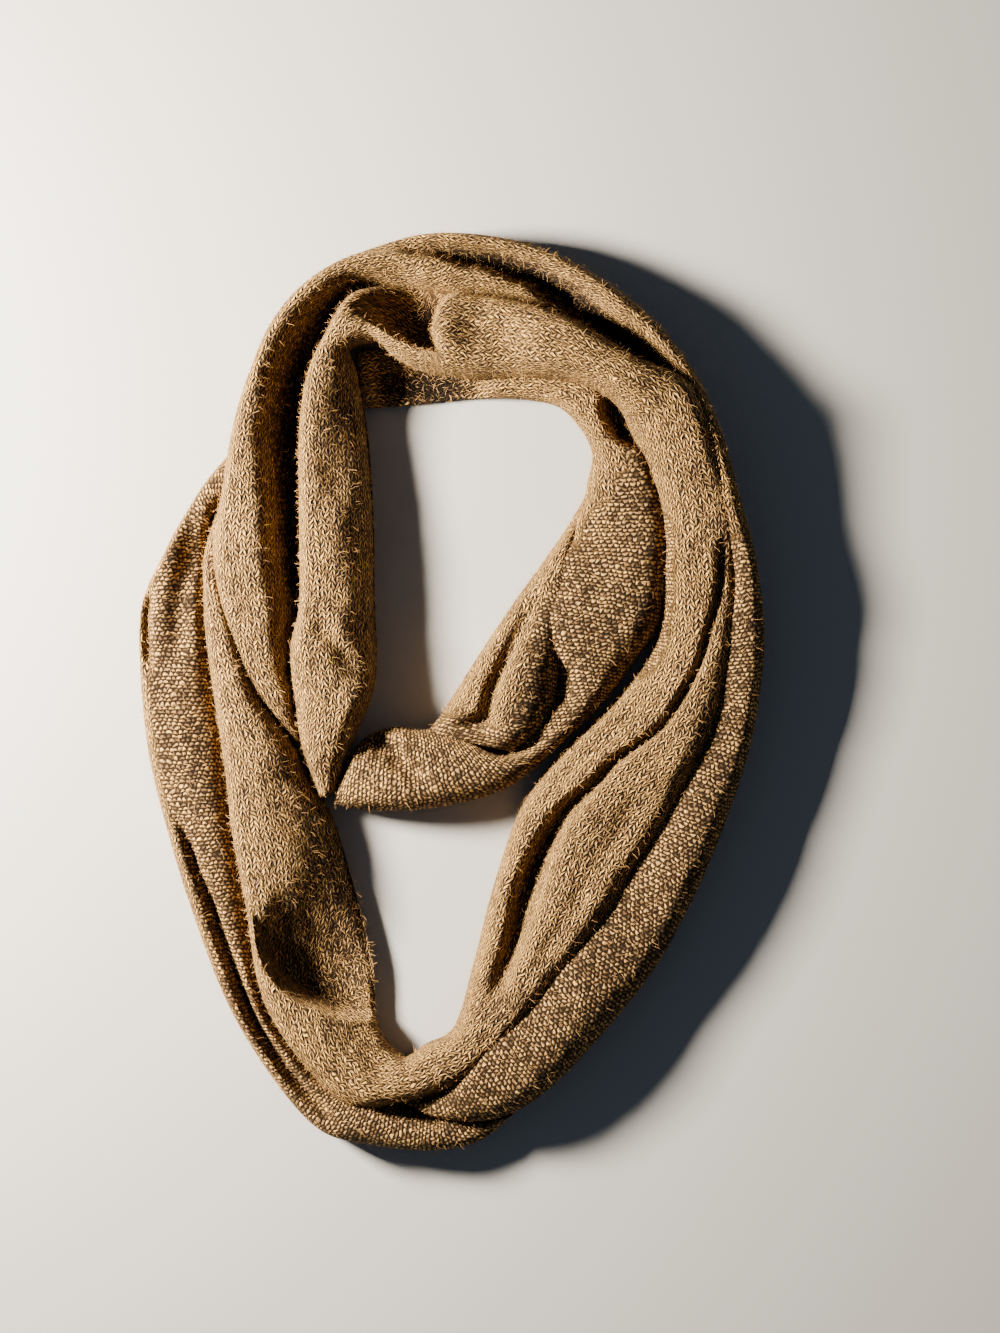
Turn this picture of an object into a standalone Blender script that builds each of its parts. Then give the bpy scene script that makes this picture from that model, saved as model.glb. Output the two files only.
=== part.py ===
"""Infinity scarf: one knitted strip sewn into a loop, wound twice and laid flat.

The strip gathers into soft hollow bundles, each a cloth wall that rises in folds,
turns round at both sides and comes back flat underneath, where its two long edges
meet. Each bundle is lofted over ribs set across it. The stretches that show are
solids of their own, a seam's width apart. Metres, +Z up, the scarf rests on Z = 0.
"""
import math

import bpy
import numpy as np

MM = 0.001
WALL = 2.4 * MM              # one layer of the brushed knit
THIN_WALL = 1.1 * MM         # the same layer where a bundle narrows to its end
WALL_SHARE = 0.15            # most of a bundle's width or height that one wall takes
SEAM_GAP = 0.3 * MM          # between two stretches
STATION_STEP = 17.0 * MM     # between two rings along a bundle
CLOSE_STEP = 7.5 * MM        # the same where it bends or folds sharply
TOP_POINTS = 13              # points of a ring over the top, its sides included
TRACE_POINTS = 161           # points of the fine line they are picked from
BEND_PULL = 5 * MM           # how strongly sharp bends draw points to them
EASING = 3                   # rounds of evening the points out along a bundle
ARCH_POWER = 2.3             # 2 is an ellipse, more is squarer
CORNER_WIDTH = 5.5 * MM      # the bottom corner's reach across
CORNER_MOST = 0.22           # at most this share of the width
CORNER_ROUND = 0.18          # how far the corner's middle stands in from the side
CORNER_SHARE = 0.24          # its rise, as a share of the bundle's height
SLIT_ACROSS = 0.46           # where the strip's two long edges meet underneath
SLIT_HALF = 0.02             # half the gap between them, as a share of the width
CLEAR_INSIDE = 1.2 * MM      # the least room between top and bottom walls

# Each bundle's ribs, in order clockwise round the scarf, millimetres:
# the rib's end towards the scarf's middle, its outer end, the height of the
# crown above the surface, and where the crown lies across (0 inner, 1 outer).
RIB_COLUMNS = ("inner_x", "inner_y", "outer_x", "outer_y", "height", "crown")
BUNDLES = {
    "outer_turn": [
        (-75.1, -15.0, -73.3, -25.9, 21, 0.50),
        (-77.5, 0.7, -86.3, -10.3, 28, 0.56),
        (-79.5, 13.5, -99.2, 17.8, 31, 0.66),
        (-74.4, 50.4, -108.1, 46.6, 34, 0.72),
        (-74.2, 89.5, -110.6, 88.5, 36, 0.74),
        (-74.1, 123.7, -106.1, 123.7, 37, 0.75),
        (-70.2, 154.1, -97.3, 154.1, 37, 0.76),
        (-59.8, 179.4, -84.5, 181.5, 37, 0.74),
        (-45.0, 195.8, -63.9, 202.1, 37, 0.68),
        (-23.5, 197.1, -32.6, 216.3, 36, 0.60),
        (-0.2, 194.0, -3.2, 221.7, 36, 0.58),
        (26.9, 192.2, 33.1, 217.3, 35, 0.60),
        (50.1, 186.6, 62.5, 205.1, 34, 0.62),
        (79.6, 169.2, 91.9, 184.5, 34, 0.60),
        (102.8, 152.8, 114.9, 157.0, 33, 0.58),
        (119.7, 133.3, 128.6, 128.6, 32, 0.56),
        (130.5, 94.5, 138.9, 93.3, 31, 0.52),
        (139.3, 58.9, 147.2, 60.0, 30, 0.50),
        (137.7, 20.6, 150.7, 22.8, 30, 0.46),
        (127.4, -17.9, 144.8, -22.3, 30, 0.45),
        (109.6, -54.5, 132.1, -62.5, 30, 0.45),
        (91.7, -82.4, 117.8, -96.8, 30, 0.45),
        (71.3, -110.7, 98.7, -132.1, 30, 0.45),
        (49.7, -137.0, 75.7, -161.5, 29, 0.45),
        (25.8, -164.6, 47.3, -191.3, 27, 0.45),
        (5.2, -184.6, 23.2, -205.4, 24, 0.48),
        (-6.3, -193.2, -1.3, -207.8, 19, 0.50),
        (-13.0, -196.2, -23.6, -198.2, 14, 0.50),
    ],
    "main_turn": [
        (-56.1, -47.2, -63.6, -50.6, 24, 0.50),
        (-50.1, -27.2, -71.7, -28.1, 33, 0.48),
        (-39.4, -0.7, -75.7, -4.4, 37, 0.46),
        (-37.5, 19.8, -77.7, 20.8, 38, 0.46),
        (-38.5, 47.3, -73.4, 43.4, 38, 0.46),
        (-39.0, 84.5, -73.3, 84.5, 38, 0.46),
        (-41.6, 123.7, -73.3, 123.7, 38, 0.46),
        (-46.6, 155.0, -69.6, 153.0, 37, 0.46),
        (-50.7, 175.7, -60.7, 174.8, 36, 0.48),
        (-40.4, 179.6, -49.4, 189.6, 35, 0.50),
        (-29.6, 166.8, -31.6, 195.8, 36, 0.50),
        (-12.0, 155.2, -12.0, 194.6, 42, 0.50),
        (8.6, 153.0, 10.5, 192.0, 47, 0.48),
        (34.1, 152.7, 34.1, 190.2, 49, 0.48),
        (60.6, 149.4, 59.5, 180.6, 49, 0.48),
        (79.4, 139.5, 87.7, 162.2, 47, 0.48),
        (87.2, 125.4, 112.1, 142.7, 45, 0.46),
        (94.6, 107.5, 124.5, 114.5, 42, 0.45),
        (101.3, 84.3, 130.7, 88.4, 40, 0.45),
        (102.1, 58.1, 138.6, 57.1, 38, 0.42),
        (99.7, 25.7, 136.9, 20.8, 37, 0.42),
        (83.1, 0.2, 125.8, -19.4, 37, 0.42),
        (53.7, -29.2, 109.4, -53.0, 36, 0.44),
        (34.1, -56.6, 91.3, -81.5, 36, 0.46),
        (20.8, -94.3, 71.8, -108.8, 35, 0.46),
        (11.0, -132.1, 51.2, -134.1, 34, 0.46),
        (1.7, -162.4, 24.7, -164.4, 33, 0.46),
        (-12.0, -171.3, -2.8, -189.7, 32, 0.46),
        (-23.8, -177.1, -25.8, -197.7, 31, 0.46),
        (-36.5, -161.5, -54.2, -196.9, 31, 0.55),
        (-39.4, -130.1, -88.8, -152.9, 33, 0.72),
        (-49.2, -91.9, -99.2, -101.5, 35, 0.74),
        (-58.6, -61.5, -105.7, -65.4, 36, 0.74),
        (-68.2, -44.6, -107.7, -48.7, 36, 0.72),
        (-76.5, -26.9, -109.9, -31.2, 36, 0.66),
        (-94.1, 1.2, -115.0, 1.2, 34, 0.52),
        (-104.0, 27.7, -118.5, 27.7, 32, 0.50),
        (-110.4, 50.2, -119.6, 50.2, 29, 0.50),
        (-112.7, 63.9, -119.4, 68.0, 25, 0.50),
        (-111.4, 83.6, -112.0, 91.7, 21, 0.50),
    ],
    "inner_turn_low": [
        (-42.6, 139.5, -45.8, 169.5, 16, 0.50),
        (-29.6, 140.4, -32.6, 163.0, 17, 0.50),
        (-14.0, 141.9, -13.1, 153.1, 22, 0.50),
        (9.6, 144.3, 9.6, 151.7, 24, 0.50),
        (38.0, 143.3, 37.0, 151.7, 25, 0.50),
        (55.6, 137.4, 66.3, 146.3, 26, 0.50),
        (68.4, 118.8, 85.1, 126.2, 27, 0.50),
        (66.4, 101.2, 94.9, 104.2, 29, 0.52),
        (62.6, 82.6, 100.6, 82.6, 28, 0.52),
        (58.6, 62.0, 101.1, 58.1, 28, 0.52),
        (50.2, 42.5, 95.8, 35.5, 27, 0.55),
        (37.6, 15.8, 84.0, 10.0, 28, 0.62),
        (30.0, -9.6, 70.3, -7.6, 27, 0.62),
        (23.8, -28.6, 48.8, -28.2, 27, 0.46),
        (5.6, -21.2, 26.2, -45.8, 28, 0.42),
        (-10.0, -17.4, -1.2, -54.1, 30, 0.46),
        (-26.7, -17.4, -25.7, -56.6, 31, 0.46),
        (-43.4, -23.3, -47.3, -55.6, 29, 0.48),
        (-53.2, -40.2, -57.1, -53.7, 22, 0.50),
    ],
    "lower_turn": [
        (15.4, -209.0, 30.1, -204.6, 16, 0.50),
        (4.9, -209.2, 12.5, -217.8, 18, 0.55),
        (-11.0, -208.6, -11.0, -221.7, 22, 0.55),
        (-32.9, -202.0, -39.4, -218.8, 24, 0.55),
        (-55.9, -199.9, -63.9, -211.4, 26, 0.55),
        (-71.9, -180.3, -86.5, -186.0, 27, 0.55),
        (-91.3, -151.8, -108.0, -150.7, 27, 0.55),
        (-99.4, -106.5, -124.7, -107.6, 28, 0.50),
        (-106.5, -65.4, -137.4, -66.4, 29, 0.48),
        (-111.1, -28.2, -146.3, -29.2, 29, 0.46),
        (-117.0, 8.1, -150.2, 8.1, 28, 0.44),
        (-120.4, 40.4, -150.2, 40.4, 28, 0.44),
        (-120.5, 68.8, -143.3, 69.8, 25, 0.46),
        (-116.8, 87.1, -131.1, 99.2, 22, 0.50),
        (-112.9, 95.3, -109.0, 116.4, 18, 0.50),
    ],
    "flap": [
        (62.8, 90.2, 58.0, 68.9, 22, 0.50),
        (45.1, 63.9, 54.3, 54.9, 29, 0.50),
        (31.1, 44.3, 46.6, 39.7, 33, 0.55),
        (13.5, 17.9, 35.9, 14.9, 35, 0.62),
        (-0.2, -3.7, 28.2, -9.4, 35, 0.68),
        (-9.6, -14.5, 24.0, -25.4, 33, 0.60),
    ],
}

CLOSE_STRETCHES = ("inner_turn", "bottom_main", "inner_bottom", "inner_flap", "top_right")

# The stretches that show: name, bundle, its first and last rib, its knit face out.
STRETCHES = [
    ("left_main", "outer_turn", 0, 5, "plain"),
    ("top_left", "outer_turn", 5, 10, "plain"),
    ("top_right", "outer_turn", 10, 15, "plain"),
    ("right_outer", "outer_turn", 15, 27, "purl"),
    ("inner_left", "main_turn", 0, 8, "plain"),
    ("inner_turn", "main_turn", 8, 12, "plain"),
    ("crossing", "main_turn", 12, 18, "plain"),
    ("right_main", "main_turn", 18, 26, "plain"),
    ("bottom_main", "main_turn", 26, 29, "plain"),
    ("lower_left", "main_turn", 29, 39, "plain"),
    ("inner_top", "inner_turn_low", 0, 7, "plain"),
    ("inner_right", "inner_turn_low", 7, 14, "purl"),
    ("inner_bottom", "inner_turn_low", 14, 18, "purl"),
    ("bottom_outer", "lower_turn", 0, 4, "purl"),
    ("left_outer", "lower_turn", 4, 14, "purl"),
    ("inner_flap", "flap", 0, 5, "plain"),
]

# Folds that run along a bundle. A row is a place on the fold: the rib, how far
# across, the depth below the rounded top and the half width, both in millimetres.
FOLD_COLUMNS = ("rib", "across", "depth", "half_width")
FOLDS = {
    "top_trench": ("outer_turn", [
        (8.5, 0.66, 0, 4), (9.4, 0.63, 8, 4), (10.6, 0.60, 14, 4),
        (11.6, 0.44, 20, 5), (12.6, 0.24, 22, 6), (13.6, 0.12, 18, 6), (14.6, 0.05, 0, 5),
    ]),
    "left_hollow": ("outer_turn", [
        (2.0, 0.32, 0, 9), (3.0, 0.30, 6, 9), (4.5, 0.30, 9, 10),
        (6.5, 0.30, 9, 10), (8.0, 0.22, 5, 8), (9.0, 0.20, 0, 7),
    ]),
    "purl_pocket": ("outer_turn", [
        (24.2, 0.10, 0, 5), (25.0, 0.12, 7, 5), (26.0, 0.20, 5, 4), (26.8, 0.30, 0, 4),
    ]),
    "strand_dimple": ("main_turn", [
        (3.4, 0.78, 0, 8), (4.1, 0.72, 4, 8), (4.8, 0.60, 1, 8),
        (5.6, 0.55, 2, 8), (6.0, 0.50, 5, 9), (6.6, 0.42, 0, 8),
    ]),
    "turn_cave": ("main_turn", [
        (8.3, 0.50, 0, 5), (9.0, 0.50, 22, 8), (10.0, 0.45, 30, 12),
        (10.7, 0.47, 30, 12), (11.05, 0.42, 8, 9), (11.4, 0.36, 0, 6),
    ]),
    "turn_trench": ("main_turn", [
        (9.6, 0.80, 0, 6), (10.2, 0.84, 22, 7), (11.0, 0.92, 24, 7),
        (11.7, 0.97, 12, 5), (12.2, 0.98, 0, 4),
    ]),
    "crossing_dimple": ("main_turn", [
        (11.5, 0.42, 0, 8), (12.0, 0.40, 8, 8), (12.4, 0.34, 7, 8), (12.9, 0.26, 0, 8),
    ]),
    "right_crease": ("main_turn", [
        (18.3, 0.76, 0, 5), (19.0, 0.72, 14, 4), (20.0, 0.58, 15, 5), (21.0, 0.52, 11, 4),
        (22.0, 0.34, 13, 6), (23.0, 0.28, 19, 7), (24.0, 0.27, 17, 6), (25.0, 0.33, 12, 5),
        (25.9, 0.38, 0, 4),
    ]),
    "lower_pocket": ("main_turn", [
        (29.3, 0.50, 0, 10), (29.8, 0.52, 9, 12), (30.2, 0.50, 22, 14),
        (30.6, 0.46, 20, 13), (31.2, 0.42, 5, 12), (32.0, 0.38, 0, 12),
    ]),
    "lower_dent": ("main_turn", [
        (28.4, 0.30, 0, 7), (28.9, 0.22, 8, 7), (29.3, 0.20, 0, 7),
    ]),
    "flap_pocket": ("inner_turn_low", [
        (9.8, 0.10, 0, 7), (10.6, 0.12, 10, 8), (11.4, 0.20, 14, 10),
        (12.2, 0.14, 12, 8), (13.0, 0.05, 3, 6), (13.4, 0.05, 0, 6),
    ]),
    "lobe_crease": ("inner_turn_low", [
        (17.2, 0.02, 0, 5), (16.8, 0.06, 11, 5), (16.4, 0.18, 13, 5), (16.0, 0.36, 13, 5),
        (15.6, 0.56, 8, 5), (15.2, 0.66, 0, 5),
    ]),
    "edge_crease": ("lower_turn", [
        (3.7, 0.62, 0, 4), (4.3, 0.46, 12, 4), (5.0, 0.40, 15, 4), (6.0, 0.42, 15, 4),
        (7.0, 0.58, 14, 4), (7.7, 0.68, 9, 3.5), (8.4, 0.80, 0, 3),
    ]),
    "edge_slit": ("lower_turn", [
        (9.9, 0.84, 0, 3), (10.4, 0.86, 11, 3), (11.1, 0.87, 11, 3), (11.5, 0.88, 0, 3),
    ]),
    "purl_dip": ("lower_turn", [
        (10.3, 0.42, 0, 4), (11.0, 0.36, 10, 4.5), (12.0, 0.33, 10, 4.5), (12.8, 0.42, 0, 3),
    ]),
    "flap_crease": ("flap", [
        (1.6, 0.50, 0, 4), (2.6, 0.52, 6, 4), (3.4, 0.58, 9, 5), (4.2, 0.66, 10, 5),
        (4.75, 0.55, 12, 7), (4.95, 0.50, 0, 6),
    ]),
}

FINISH_COLUMNS = ("colour", "roughness")
FINISHES = {
    "plain": ((0.47, 0.30, 0.14), 0.93),
    "purl": ((0.42, 0.26, 0.12), 0.90),
}


def clear_scene():
    for thing in list(bpy.data.objects):
        bpy.data.objects.remove(thing, do_unlink=True)


def smooth_through(rows, place):
    """A value of every column at a place along the rows, on a smooth curve."""
    values = np.array(rows, float)
    ends = 2 * values[0] - values[1], 2 * values[-1] - values[-2]
    padded = np.vstack([ends[0], values, ends[1]])
    first = min(int(place), len(values) - 2)
    t = place - first
    before, here, after, beyond = padded[first:first + 4]
    return 0.5 * (
        2 * here
        + (after - before) * t
        + (2 * before - 5 * here + 4 * after - beyond) * t**2
        + (3 * here - before - 3 * after + beyond) * t**3
    )


def fold_at(rows, rib):
    """Across, depth and half width of a fold at a rib, none beyond its ends."""
    rows = sorted(rows)
    ribs = [row[0] for row in rows]
    if not ribs[0] < rib < ribs[-1]:
        return None
    return [np.interp(rib, ribs, [row[k] for row in rows]) for k in (1, 2, 3)]


def fine_places():
    """Places across the top, closer together where the sides turn down."""
    return 0.5 - 0.5 * np.cos(np.linspace(0, math.pi, TRACE_POINTS))


def picked(across, line):
    """A few places across, evenly along the cloth and closer at bends."""
    steps = np.diff(line, axis=0)
    long = np.linalg.norm(steps, axis=1)
    turning = np.abs(np.diff(np.unwrap(np.arctan2(steps[:, 1], steps[:, 0]))))
    weight = long + BEND_PULL * np.convolve(np.append(turning, 0), np.ones(5) / 5, "same")
    along = np.concatenate([[0], np.cumsum(weight)])
    wanted = np.linspace(0, along[-1], TOP_POINTS)
    return np.interp(wanted, along, across)


def arch(across, crown):
    """Height share of the rounded top, 1 at the crown and 0 at both sides."""
    off = np.where(across < crown, (crown - across) / crown, (across - crown) / (1 - crown))
    return (1 - np.clip(off, 0, 1) ** ARCH_POWER) ** (1 / ARCH_POWER)


def fold_depth(bundle, rib, across, width):
    """How far all the folds of a bundle press its top down at these places."""
    depth = np.zeros(len(across))
    for on_bundle, rows in FOLDS.values():
        found = fold_at(rows, rib) if on_bundle == bundle else None
        if found:
            at, deep, half = found
            off = (across - at) * width / (half * MM)
            depth += deep * MM * np.exp(-off**2)
    return depth


def shape_at(bundle, rib):
    """The inner and outer ends of a rib, its width, height, crown and wall."""
    inner_x, inner_y, outer_x, outer_y, height, crown = smooth_through(BUNDLES[bundle], rib)
    inner = np.array([inner_x, inner_y]) * MM
    outer = np.array([outer_x, outer_y]) * MM
    width = np.linalg.norm(outer - inner)
    height *= MM
    wall = min(WALL, max(THIN_WALL, WALL_SHARE * min(width, height)))
    return inner, outer, width, height, crown, wall


def top_rise(bundle, rib, across):
    """Heights of the cloth's top over these places across a rib."""
    _, _, width, height, crown, wall = shape_at(bundle, rib)
    side = CORNER_SHARE * height
    rise = side + (height - side) * arch(across, crown)
    lowest = np.minimum(rise, 2 * wall + CLEAR_INSIDE)
    return np.maximum(rise - fold_depth(bundle, rib, across, width), lowest)


def places_across(bundle, ribs):
    """The places of the top's points at each rib, eased from ring to ring."""
    fine = fine_places()
    rows = []
    for rib in ribs:
        width = shape_at(bundle, rib)[2]
        rows.append(picked(fine, np.column_stack([fine * width, top_rise(bundle, rib, fine)])))
    rows = np.array(rows)
    for _ in range(EASING):
        rows[1:-1] = (rows[:-2] + 2 * rows[1:-1] + rows[2:]) / 4
    return rows


def section(bundle, rib, across):
    """The open line of the wall's outside, from slit over the top to slit."""
    _, _, width, height, _, _ = shape_at(bundle, rib)
    corner = min(CORNER_WIDTH, CORNER_MOST * width)
    side = CORNER_SHARE * height
    line = [((SLIT_ACROSS - SLIT_HALF) * width, 0.0), (corner, 0.0)]
    line += [(CORNER_ROUND * corner, 0.45 * side)]
    line += list(zip(across * width, top_rise(bundle, rib, across)))
    line += [(width - CORNER_ROUND * corner, 0.45 * side), (width - corner, 0.0)]
    line += [((SLIT_ACROSS + SLIT_HALF) * width, 0.0)]
    return np.array(line)


def moved_in(line, wall):
    """The line moved inwards by one wall."""
    steps = np.diff(line, axis=0)
    steps /= np.linalg.norm(steps, axis=1)[:, None]
    inward = np.column_stack([steps[:, 1], -steps[:, 0]])
    before = np.vstack([inward[:1], inward])
    after = np.vstack([inward, inward[-1:]])
    both = before + after
    both /= np.linalg.norm(both, axis=1)[:, None]
    opening = np.clip((both * after).sum(1), 0.75, 1)
    return line + both * (wall / opening)[:, None]


def ring(bundle, rib, across):
    """The wall's closed section at a rib, as points in space."""
    inner, outer, width, _, _, wall = shape_at(bundle, rib)
    outside = section(bundle, rib, across)
    whole = np.vstack([outside, moved_in(outside, wall)[::-1]])
    flat = inner + (outer - inner) * (whole[:, :1] / width)
    return np.column_stack([flat, whole[:, 1]])


def middle(bundle, rib):
    row = smooth_through(BUNDLES[bundle], rib)
    return (row[0:2] + row[2:4]) / 2 * MM


def length_between(bundle, first, last):
    places = np.linspace(first, last, 24)
    line = np.array([middle(bundle, place) for place in places])
    return float(np.linalg.norm(np.diff(line, axis=0), axis=1).sum())


def stations(bundle, first, last, step):
    """Places of the rings of a stretch, half a seam short of each end it shares."""
    places = []
    for rib in range(first, last):
        long = length_between(bundle, rib, rib + 1)
        count = max(1, round(long / step))
        places += [rib + k / count for k in range(count)]
    places.append(last)
    if first > 0:
        places[0] += 0.5 * SEAM_GAP / length_between(bundle, first, first + 1)
    if last < len(BUNDLES[bundle]) - 1:
        places[-1] -= 0.5 * SEAM_GAP / length_between(bundle, last - 1, last)
    return places


def loft(rings):
    """Points and faces of a solid through the rings, closed at both ends."""
    count = len(rings[0])
    points = [tuple(point) for one in rings for point in one]
    faces = []
    for k in range(len(rings) - 1):
        for i in range(count):
            j = (i + 1) % count
            low, high = k * count, (k + 1) * count
            faces.append((low + i, high + i, high + j, low + j))
    last = (len(rings) - 1) * count
    for i in range(count // 2 - 1):
        back = count - 1 - i
        faces.append((i, i + 1, back - 1, back))
        faces.append((last + i + 1, last + i, last + back, last + back - 1))
    return points, faces


def knit_material(name):
    colour, roughness = FINISHES[name]
    material = bpy.data.materials.new(f"camel_knit_{name}_face")
    material.use_nodes = True
    shader = material.node_tree.nodes["Principled BSDF"]
    shader.inputs["Base Color"].default_value = (*colour, 1)
    shader.inputs["Roughness"].default_value = roughness
    shader.inputs["Metallic"].default_value = 0
    material.diffuse_color = (*colour, 1)
    return material


def build_stretch(name, bundle, first, last, material):
    step = CLOSE_STEP if name in CLOSE_STRETCHES else STATION_STEP
    ribs = stations(bundle, first, last, step)
    across = places_across(bundle, ribs)
    rings = [ring(bundle, rib, row) for rib, row in zip(ribs, across)]
    points, faces = loft(rings)
    mesh = bpy.data.meshes.new(name)
    mesh.from_pydata(points, [], faces)
    mesh.update()
    piece = bpy.data.objects.new(name, mesh)
    bpy.context.scene.collection.objects.link(piece)
    mesh.materials.append(material)
    return piece


def main():
    clear_scene()
    materials = {name: knit_material(name) for name in FINISHES}
    for name, bundle, first, last, face in STRETCHES:
        build_stretch(name, bundle, first, last, materials[face])


main()
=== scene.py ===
"""The infinity scarf's looks: knitted shells over its folded bundles, their fuzz, light and camera.

Each shell is lofted over the same ribs as the solids, on a mesh fine enough for soft
folds. It carries a knit map, counted in wales and courses, so that the stitches run
along the strip wherever it bends.
"""

import math

import bpy
import numpy as np
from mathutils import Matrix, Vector


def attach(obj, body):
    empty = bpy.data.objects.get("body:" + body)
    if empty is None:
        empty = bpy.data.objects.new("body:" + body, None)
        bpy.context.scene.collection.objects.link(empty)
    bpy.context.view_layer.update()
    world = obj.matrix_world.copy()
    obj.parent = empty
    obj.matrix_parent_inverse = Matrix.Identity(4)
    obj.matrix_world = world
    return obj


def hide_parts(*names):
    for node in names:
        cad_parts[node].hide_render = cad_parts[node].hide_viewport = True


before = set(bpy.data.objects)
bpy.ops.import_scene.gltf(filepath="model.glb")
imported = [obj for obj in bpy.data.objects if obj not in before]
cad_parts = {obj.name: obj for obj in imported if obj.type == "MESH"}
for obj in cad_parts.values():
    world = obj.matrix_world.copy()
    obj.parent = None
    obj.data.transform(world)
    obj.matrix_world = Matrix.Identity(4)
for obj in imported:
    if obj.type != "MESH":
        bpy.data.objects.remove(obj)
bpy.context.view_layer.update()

MM = 0.001

# ---------------------------------------------------------------- sizes of the cloth

WALL = 2.4 * MM              # one layer of the brushed knit
THIN_WALL = 1.1 * MM         # the same layer where a bundle narrows to its end
WALL_SHARE = 0.15            # most of a bundle's width or height that one wall takes
ARCH_POWER = 2.8             # 2 is an ellipse, more is squarer
CORNER_WIDTH = 5.5 * MM      # the bottom corner's reach across
CORNER_MOST = 0.22           # at most this share of the width
CORNER_SHARE = 0.24          # its rise, as a share of the bundle's height
SLIT_ACROSS = 0.46           # where the strip's two long edges meet underneath
CLEAR_INSIDE = 1.2 * MM      # the least room between top and bottom walls
SOFT_FLOOR = 2.0 * MM        # how softly a deep fold comes to rest on it
SPREAD = 0.7 * MM            # how far soft cloth bulges against its neighbours

# The unevenness: wavelengths along and across the strip, and size, in millimetres.
WAVES = [(95, 46, 0.9), (52, 24, 0.4), (26, 15, 0.2)]
WAVES_EACH = 3               # waves of each kind, each turned its own way
WAVE_SEED = 7
WAVE_EDGES = 7               # full height from a seventh of the width in

# How deep a fold lies, as a share: it darkens the yarn there as painted shade and takes out its sheen.
SUNK_FROM = 8 * MM           # shallower folds look like open cloth
SUNK_DEPTH = 24 * MM         # a fold this deep is wholly sunk
POCKET_SUNK = 0.35           # a pocket is open to the light, so it counts for less
PURL_EASE_RIBS = 0.9         # ribs over which a purl zone's ends ease off
PURL_EASE_ACROSS = 0.14      # share of the width over which its sides do

ACROSS_POINTS = 84           # mesh points round a bundle
CORNER_POINTS = 6            # of them, those round each bottom corner
FLAT_POINTS = 5              # and those on each half of the underside
TRACE_POINTS = 241           # points of the fine line they are picked from
TRACED_PER_RIB = 40          # places to a rib that the length is measured through
SMOOTHINGS = 6               # times that neighbouring rings are evened out
NEARLY_NOTHING = 1e-9        # stands in for a step of no length

# ---------------------------------------------------------------- stitches and yarn

WALE = 3.7 * MM              # one column of stitches
COURSE = 2.8 * MM            # one row of stitches
LEG_SLANT = 2.4              # rows that a stitch's leg climbs in half a column
LEG_FLATNESS = 0.95          # less is flatter on top, from leg to leg
LEG_SIDE_FLATNESS = 0.8      # the same from side to side
LEG_SIDE_LEAST = 0.1         # height that is left between two columns
PURL_TIGHTER = 1.40          # purl bumps to one plain stitch, each way
BEAD_BOW = 1.2               # how much a bump is bent
BEAD_MIDDLE = 0.62           # where it lies in its row
BEAD_FALL_UP = 6.0           # how fast it rounds off up and down its row
BEAD_FALL_ACROSS = 4.2       # and to both sides
BEAD_HEIGHT = 0.62           # its height above the gap, in plain stitches
BEAD_GAP = 0.25              # the height of the gap between bumps
STITCH_LEAST = 0.60          # height of the flattest stitch
STITCH_SPREAD = 0.84         # how much higher the fullest one is
STITCH_RELIEF = 2.5 * MM     # what a height of 1 stands for

WANDER_SIZE = 1 / 60         # 17 mm: the rows drift
WANDER = 1.1                 # by so many stitches
JITTER_SIZE = 1 / 230        # 4 mm: each stitch sits a little off its place
JITTER = 0.9                 # by so many stitches
PATCH_SIZE = 1 / 45          # 22 mm: patches of paler and darker yarn
RAGGED = 1.2                 # how far the patches push the edge of a purl zone
EDGE_SHARPNESS = 6.0         # of that edge
GRAIN_SIZE = 1 / 900         # 1.1 mm: crossing fibres, coarser than real ones so that they show
GRAIN_RELIEF = 0.25          # their height
STREAKS_PER_STITCH = 2.3     # about 1.5 mm: fibres that run with the yarn, coarser for the same reason
STREAK_RELIEF = 0.6          # their height

STREAK_TONE = 0.35           # how much the streaks lighten the yarn
PATCH_TONE = 0.50            # how much the patches do
PURL_DARKER = 0.16           # the purl side's bumps shade each other
PAINTED_FOLD_SHADE = 0.78           # painted shade: deep in a fold the yarn's colour is darkened
TONE_START = 0.53            # the sum at which the darkest tone starts
# The yarn's tones from dark to pale: the dark end serves the painted shade between stitches and in deep
# folds, the pale end the painted highlight on stitch tops.
YARN_TONES = [(0.0, "#1E1610"), (0.20, "#3A2C1F"), (0.42, "#876846"), (0.70, "#C09961"),
              (1.0, "#F0C06C")]
SHEEN = 0.12                 # the brushed bloom on open cloth
SUNK_SHEEN = 0.01            # and deep in a fold

FUZZ_DENSITY = 210000.0      # fibres to a square metre
FUZZ_LONGEST = 3.8 * MM
SHORTEST_SHARE = 0.35        # of the longest
FUZZ_THICKNESS = 0.028       # of a fibre's length: up to 0.1 mm, thicker than a real hair so that it shows
FUZZ_SEED = 11
PURL_LESS_FUZZ = 0.6         # share of the fibres that the purl side does without
TURNED_DOWN = -0.1           # cloth that faces further down than this has none
LEAN_LEAST = (-0.15, -0.3, 0.0)             # radians off upright, and round it
LEAN_MOST = (0.60, 0.3, 2 * math.pi)

# ---------------------------------------------------------------- sizes of the studio

FRAME_MIDDLE = Vector((23.3 * MM, 12.7 * MM, 0.0))
FRAME_HEIGHT = 0.653         # metres of floor from top to bottom of the view
CAMERA_ABOVE = 1.35          # metres, about as high as a phone is held
SENSOR = 36                  # millimetres
NEAREST_SEEN = 0.05          # metres
WINDOW_AT = (-0.585, 0.176, 0.39)
WINDOW_SIZE = 0.15           # metres
WINDOW_POWER = 60            # watts
FILL_STRENGTH = 0.14
FLOOR_HALF = 3.0             # metres from the middle to each side
FLOOR_DROP = 0.2 * MM        # keeps the floor clear of the cloth's underside

# ---------------------------------------------------------------- ribs, folds and edges

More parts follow.
